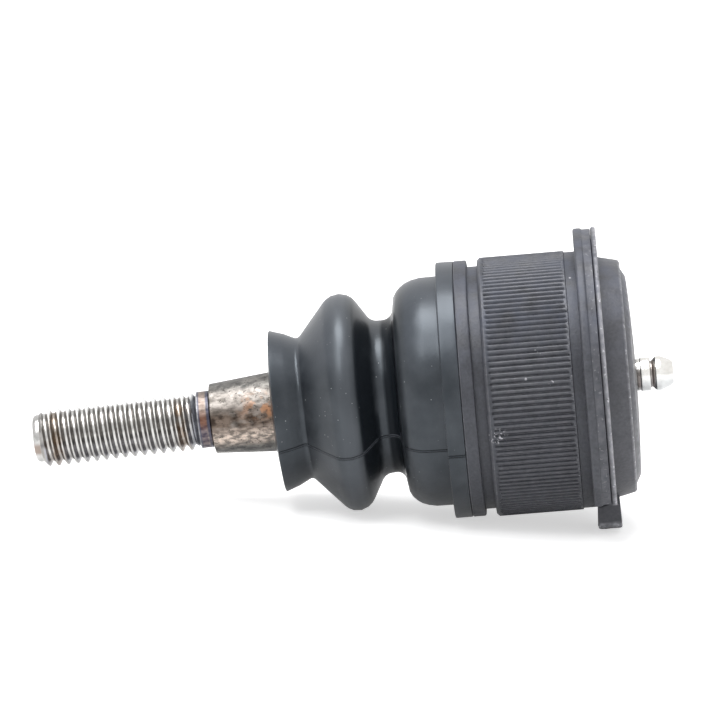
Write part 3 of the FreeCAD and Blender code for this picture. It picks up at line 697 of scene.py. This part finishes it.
# ---- Boot ----
# One moulding of black rubber, held on the snout by a steel ring in its bead and tight on the stud
# by another in its lip. The mould left a parting line on both sides, and dust has settled on it.
def boot_rubber():
    """Black rubber with a dusty film, specks and the parting line, and painted light: shade in the
    recesses, a lighter top, a highlight on the fold's crest and a glint on the seam.

    It is laid out on the places that the points have at rest, so it bends with the boot.
    """
    speck = (0.42, 0.43, 0.44)
    painted_top_light_colour = (0.070, 0.080, 0.100)
    lighter_tone = (0.062, 0.067, 0.075)
    paint = Paint("rubber", metallic=0.0, roughness=0.32)
    paint.fixed("Specular Tint", (0.82, 0.91, 1.0, 1.0))
    rest_x, rest_y, rest_z = (paint.value(key) for key in ("rest_x", "rest_y", "rest_z"))
    paint.place = paint.node("CombineXYZ", {"X": rest_x, "Y": rest_y, "Z": rest_z}).outputs[0]

    # Painted shade: the recesses on both sides of the waist are painted black, with no film
    painted_shade_under_fold = paint.band(rest_x, -0.0243, -0.0214, soft=0.0002)
    painted_shade_beside_dome = paint.band(rest_x, -0.0193, -0.0166, soft=0.0003)
    under_dome = paint.band(rest_x, -0.0193, -0.0168, soft=0.0003)
    painted_recess_shade = paint.sum(painted_shade_under_fold, painted_shade_beside_dome)
    film = paint.ramp01(paint.noise(170, detail=5.0), 0.36, 0.68)
    film = paint.times(film, paint.ramp01(painted_recess_shade, 1.0, 0.0))
    colour = paint.mix(film, (0.009, 0.011, 0.014), (0.030, 0.033, 0.038))

    dusty = paint.ramp01(paint.noise(90, detail=2.0, shift=7.0), 0.38, 0.6)
    specks = paint.sum(
        paint.specks(1700, size=0.22, share=0.05),
        paint.specks(800, size=0.13, share=0.07, shift=3.0),
    )
    specks = paint.times(specks, paint.times(dusty, 0.8))
    colour = paint.mix(specks, colour, speck)
    # Painted light: the upper side, away from the waist, is painted lighter and bluer, as where the
    # lamps fall
    painted_top_light = paint.times(paint.ramp01(paint.upward(), 0.006, 0.014), 0.3)
    away_from_waist = paint.band(rest_x, -0.0252, -0.0148, soft=0.0006)
    away_from_waist = paint.ramp01(away_from_waist, 1.0, 0.0)
    colour = paint.mix(paint.times(painted_top_light, away_from_waist), colour, painted_top_light_colour)
    # Painted highlight: a lighter band along the fold's crest
    crest = paint.band(rest_x, -0.0283, -0.0249, soft=0.0007)
    colour = paint.mix(paint.times(crest, 0.6), colour, lighter_tone)

    # The seam's groove is near black; in the recess it is painted pale, a painted glint
    seam = paint.times(paint.value("seam"), 0.75)
    seam_line_and_glint = paint.mix(painted_recess_shade, (0.002, 0.002, 0.003), (0.13, 0.14, 0.16))
    paint.drive("Base Color", paint.mix(seam, colour, seam_line_and_glint))
    paint.drive("Roughness", paint.between(film, 0.29, 0.37))
    # Reflections are dimmed in the painted-shade recesses, most under the dome, and on the seam
    shine = paint.times(
        paint.between(painted_recess_shade, 0.6, 0.36), paint.ramp01(under_dome, 1.35, 0.0)
    )
    paint.drive("Specular IOR Level", paint.times(shine, paint.ramp01(seam, 1.0, 0.0)))
    paint.bump(paint.noise(1300, detail=3.0, shift=2.0), 0.000015)
    return paint.material


# The parting line is a thin ridge with a groove beside it, at these distances in millimetres
PARTING = math.radians(201) + ROLLED
PARTING_HEIGHT = 0.09
PARTING_WIDTH = 0.13
PARTING_DEPTH = 0.07
GROOVE_AWAY = 0.2
GROOVE_WIDTH = 0.08
near_parting = np.array([0.005, 0.0095, 0.015, 0.022, 0.032])
near_parting = np.concatenate((-near_parting[::-1], [0], near_parting))
boot_angles = np.unique(np.concatenate((
    around(168), PARTING + near_parting, PARTING - math.pi + near_parting,
)).round(5))


def from_parting(r, turn):
    """Millimetres round the boot from the nearer parting line."""
    away = np.abs(turn - PARTING)
    return r * np.minimum(away, np.abs(turn - PARTING + math.pi))


def boot_seam(x, r, turn):
    """1 in the groove beside the parting line."""
    return np.exp(-((from_parting(r, turn) - GROOVE_AWAY) / GROOVE_WIDTH) ** 2)


def boot_relief(x, r, turn):
    ridge = np.exp(-(from_parting(r, turn) / PARTING_WIDTH) ** 2)
    return PARTING_HEIGHT * ridge - PARTING_DEPTH * boot_seam(x, r, turn)


def finer(line, step=0.6):
    """The same line with no stretch longer than that step."""
    made = [line[0]]
    for point in line[1:]:
        count = max(int((point - made[-1]).length / step), 1)
        start = made[-1].copy()
        made += [start.lerp(point, share / count) for share in range(1, count + 1)]
    return made


# From the lip over the fold, waist, dome and bead, and back inside to the lip
boot_line = rounded([
    (-41.05, 7.62, 0), (-40.9, 10.0, 0), (-40.3, 15.3, 0.15), (-37.6, 14.4, 6.0),
    (-35.05, 13.15, 0.9), (-26.3, 22.95, 3.6), (-21.1, 14.5, 2.2), (-17.35, 14.4, 1.9),
    (-16.65, 18.5, 0), (-16.1, 19.45, 0), (-15.3, 20.25, 0), (-14.4, 20.85, 0),
    (-13.2, 21.3, 0), (-11.6, 21.6, 0), (-8.35, 21.65, 0.15), (-8.3, 24.18, 0.2),
    (-5.02, 24.18, 0.25), (-5.02, 19.66, 0),
    (-12.5, 19.5, 1.0), (-15.4, 18.0, 1.0), (-15.7, 12.6, 0.8), (-21.0, 12.5, 1.0),
    (-26.8, 20.2, 1.2), (-33.2, 12.2, 0.5), (-33.55, 11.2, 0), (-36.5, 11.15, 0),
    (-36.5, 8.4, 0), (-33.55, 8.35, 0), (-33.55, 7.76, 0), (-38.5, 7.83, 0), (-41.05, 7.62, 0),
])
boot = lathe(
    "rubber_boot", finer(boot_line), boot_angles, boot_rubber(), boot_relief, crease=50,
    rest_x=lambda x, r, turn: x * MM, rest_y=lambda x, r, turn: r * np.cos(turn) * MM,
    rest_z=lambda x, r, turn: r * np.sin(turn) * MM, seam=boot_seam,
)
# The bend starts inside the dome and ends at the valley before the lip, past which the boot
# droops as the stud does
BEND_FROM = Vector((-0.010, 0, 0))
BEND_TO = Vector((-0.033, 0, -0.0005))
bend_way = BEND_TO - BEND_FROM
droop = Matrix.Rotation(-STUD_DROOP, 3, "Y")
for vertex in boot.data.vertices:
    share = (vertex.co - BEND_FROM).dot(bend_way) / bend_way.length_squared
    share = min(max(share, 0), 1)
    share = share * share * (3 - 2 * share)
    vertex.co = vertex.co.lerp(droop @ vertex.co, share)
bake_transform(boot)
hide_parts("boot")


# ---- Grease fitting ----
# Turned steel, nickel plated, its shank pressed into the hole in the dome. A grease gun's coupler
# slides over the sloped head and grips it at the neck.
def nickel():
    """Bright plating with painted shade: greyer on its underside, and brown in the neck and under
    the collar.
    """
    neck_shade_brown = (0.085, 0.055, 0.05)
    collar_shade_brown = (0.16, 0.13, 0.12)
    paint = Paint("nickel", metallic=1.0, roughness=0.22)
    along = paint.along()
    up = paint.upward()
    tone = paint.ramp01(paint.noise(600, detail=3.0), 0.3, 0.7)
    colour = paint.mix(tone, (0.80, 0.78, 0.74), (0.92, 0.91, 0.88))
    underside_shade = paint.mix(tone, (0.50, 0.51, 0.51), (0.60, 0.61, 0.61))
    # Painted shade: the underside is painted greyer
    colour = paint.mix(paint.ramp01(up, 0.0006, -0.0012), colour, underside_shade)
    # Painted shade: brown in the neck and under the collar
    neck_shade = paint.band(along, 0.0304, 0.0312, soft=0.00025)
    colour = paint.mix(paint.times(neck_shade, 0.82), colour, neck_shade_brown)
    collar_shade = paint.band(along, 0.0277, 0.0286, soft=0.0002)
    collar_shade = paint.times(collar_shade, paint.band(up, -0.0024, 0.0014, soft=0.0006))
    paint.drive("Base Color", paint.mix(paint.times(collar_shade, 0.85), colour, collar_shade_brown))
    return paint.material


# Shank, collar, neck and head, then back through the port and the passage
fitting_line = rounded([
    (25.6, 0.8, 0), (25.6, 2.89, 0), (27.8, 2.89, 0), (27.8, 3.05, 0.1), (28.5, 3.05, 0.1),
    (28.6, 3.2, 0.15), (30.35, 3.2, 0.25), (30.45, 2.5, 0.05), (30.7, 2.5, 0.1),
    (31.4, 3.24, 0.25), (32.3, 3.24, 0.4), (34.05, 2.55, 0.3), (34.7, 2.05, 0.25),
    (34.7, 0.95, 0.1), (33.9, 0.95, 0), (33.9, 1.3, 0), (30.0, 1.3, 0), (30.0, 0.8, 0),
    (25.6, 0.8, 0),
])
fitting = lathe("fitting", fitting_line, around(72), nickel())
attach(fitting, "body")
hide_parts("grease_fitting")


# ---- Pieces inside ----
# Ground bearings, pressure plate, springs, rings and check ball, all as the solids have them. They
# show where the joint is looked into or taken apart.
def ground_steel(name, dark, light, roughness):
    paint = Paint(name, metallic=1.0, roughness=roughness)
    tone = paint.ramp01(paint.noise(400, stretch=(0.3, 1, 1)), 0.3, 0.7)
    paint.drive("Base Color", paint.mix(tone, dark, light))
    return paint.material


# Each finish: its name, darkest and lightest colour, roughness and pieces
INNER_FINISHES = (
    ("bearing_ground", (0.30, 0.30, 0.31), (0.46, 0.46, 0.47), 0.3,
     ("upper_bearing", "lower_bearing", "pressure_plate")),
    ("ring_plain", (0.34, 0.34, 0.35), (0.46, 0.46, 0.47), 0.4, ("boot_ring", "lip_ring")),
    ("spring_wire", (0.22, 0.22, 0.23), (0.36, 0.36, 0.37), 0.35,
     ("preload_spring", "check_spring")),
    ("ball_bright", (0.66, 0.66, 0.67), (0.8, 0.8, 0.8), 0.12, ("check_ball",)),
)
for finish, dark, light, roughness, names in INNER_FINISHES:
    ground = ground_steel(finish, dark, light, roughness)
    for name in names:
        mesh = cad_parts[name].data
        mesh.materials.clear()
        mesh.materials.append(ground)


# ---- Floor ----
# A white sheet, touched by the fold, the bead and the lug. It shows white of itself and keeps a
# little of what the lamps put on it, so that the joint's soft shadow is left.
FLOOR_SLOPE = math.atan2(7.0, 47.0)
FLOOR_UNDER_LUG = Vector((20.0, 0.0, -28.45)) * MM
FLOOR_HALF = 3.0
GLOW = 0.57
GLOW_IN_REFLECTIONS = 0.5


def white_sheet():
    """Matt white that glows where the camera sees it, and half as much in reflections."""
    paint = Paint("sheet", metallic=0.0, roughness=0.9)
    paint.fixed("Specular IOR Level", 0.0)
    paint.fixed("Emission Color", (1.0, 1.0, 1.0, 1.0))
    tone = paint.ramp01(paint.noise(3.0, detail=2.0), 0.3, 0.7)
    paint.drive("Base Color", paint.mix(tone, (0.79, 0.79, 0.795), (0.81, 0.81, 0.812)))
    ray = paint.node("LightPath", {}).outputs
    shown = paint.sum(ray["Is Camera Ray"], ray["Is Transmission Ray"])
    shown = paint.sum(shown, paint.times(ray["Is Glossy Ray"], GLOW_IN_REFLECTIONS))
    paint.drive("Emission Strength", paint.times(shown, GLOW))
    return paint.material


floor_corners = [(x * FLOOR_HALF, y * FLOOR_HALF, 0)
                 for x, y in ((-1, -1), (1, -1), (1, 1), (-1, 1))]
floor_mesh = bpy.data.meshes.new("floor")
floor_mesh.from_pydata(floor_corners, [], [(0, 1, 2, 3)])
floor_mesh.materials.append(white_sheet())
floor = in_scene("floor", floor_mesh)
sloping = Matrix.Rotation(FLOOR_SLOPE, 4, "Y")
floor.matrix_world = SURROUNDINGS_TURN @ Matrix.Translation(FLOOR_UNDER_LUG) @ sloping


# ---- Light ----
# White surroundings that light the joint most from above, one wide soft lamp almost overhead and a
# weaker one in front. The surroundings themselves are seen as plain white.
SKY_AT_HORIZON = 0.60
SKY_OVERHEAD = 0.85
world = bpy.data.worlds.new("surroundings")
bpy.context.scene.world = world
world.use_nodes = True
surroundings = world.node_tree.nodes["Background"]
surroundings.inputs["Color"].default_value = (1.0, 1.0, 1.0, 1.0)


def world_node(kind, inputs, **settings):
    return add_node(world.node_tree, kind, inputs, **settings).outputs


sky_direction = world_node("TexCoord", {})["Generated"]
upright = SURROUNDINGS_TURN @ Vector((0, 0, 1))
sky_up = world_node("VectorMath", {0: sky_direction, 1: upright}, operation="DOT_PRODUCT")["Value"]
sky = world_node("MapRange", {"Value": sky_up, "To Min": SKY_AT_HORIZON, "To Max": SKY_OVERHEAD})[0]
sky_ray = world_node("LightPath", {})
seen = world_node("Math", {0: sky_ray["Is Camera Ray"], 1: sky_ray["Is Glossy Ray"]})[0]
seen = world_node("Math", {0: seen, 1: sky_ray["Is Transmission Ray"]}, use_clamp=True)[0]
strength = world_node("MapRange", {"Value": seen, "To Min": sky, "To Max": 1.0})[0]
world.node_tree.links.new(strength, surroundings.inputs["Strength"])


def soft_lamp(name, energy, width, toward):
    """A distant lamp that looks width degrees wide and lies that way as the joint lies."""
    light = bpy.data.lights.new(name, "SUN")
    light.energy = energy
    light.angle = math.radians(width)
    lamp = in_scene(name, light)
    toward = SURROUNDINGS_TURN @ Vector(toward)
    lamp.rotation_euler = toward.to_track_quat("Z", "Y").to_euler()


soft_lamp("overhead", energy=2.05, width=34, toward=(0.0, -0.02, 1.0))
soft_lamp("front", energy=0.75, width=24, toward=(-0.22, -0.62, 1.0))


# ---- Camera ----
# A long lens a metre away, from the side and slightly above. It is turned so that the floor falls
# to the right, as in the photo.
AZIMUTH = math.radians(2.45)
ELEVATION = math.radians(9.5)
ROLL = math.radians(5.04)
DISTANCE = 1.0
LENS = 265.0
AIM_RIGHT = -24.47 * MM
AIM_UP = 5.05 * MM
backward = Vector((math.sin(AZIMUTH) * math.cos(ELEVATION),
                   -math.cos(AZIMUTH) * math.cos(ELEVATION), math.sin(ELEVATION)))
level_right = Vector((math.cos(AZIMUTH), math.sin(AZIMUTH), 0))
level_up = backward.cross(level_right)
right = level_right * math.cos(ROLL) - level_up * math.sin(ROLL)
above = level_up * math.cos(ROLL) + level_right * math.sin(ROLL)
lens = bpy.data.cameras.new("camera")
lens.lens = LENS
lens.sensor_width = 36.0
lens.clip_end = 20.0
camera = in_scene("camera", lens)
place = right * AIM_RIGHT + above * AIM_UP + backward * DISTANCE
facing = Matrix((right, above, backward)).transposed().to_4x4()
camera.matrix_world = SURROUNDINGS_TURN @ Matrix.Translation(place) @ facing
bpy.context.scene.camera = camera
bpy.context.scene.view_settings.view_transform = "Standard"
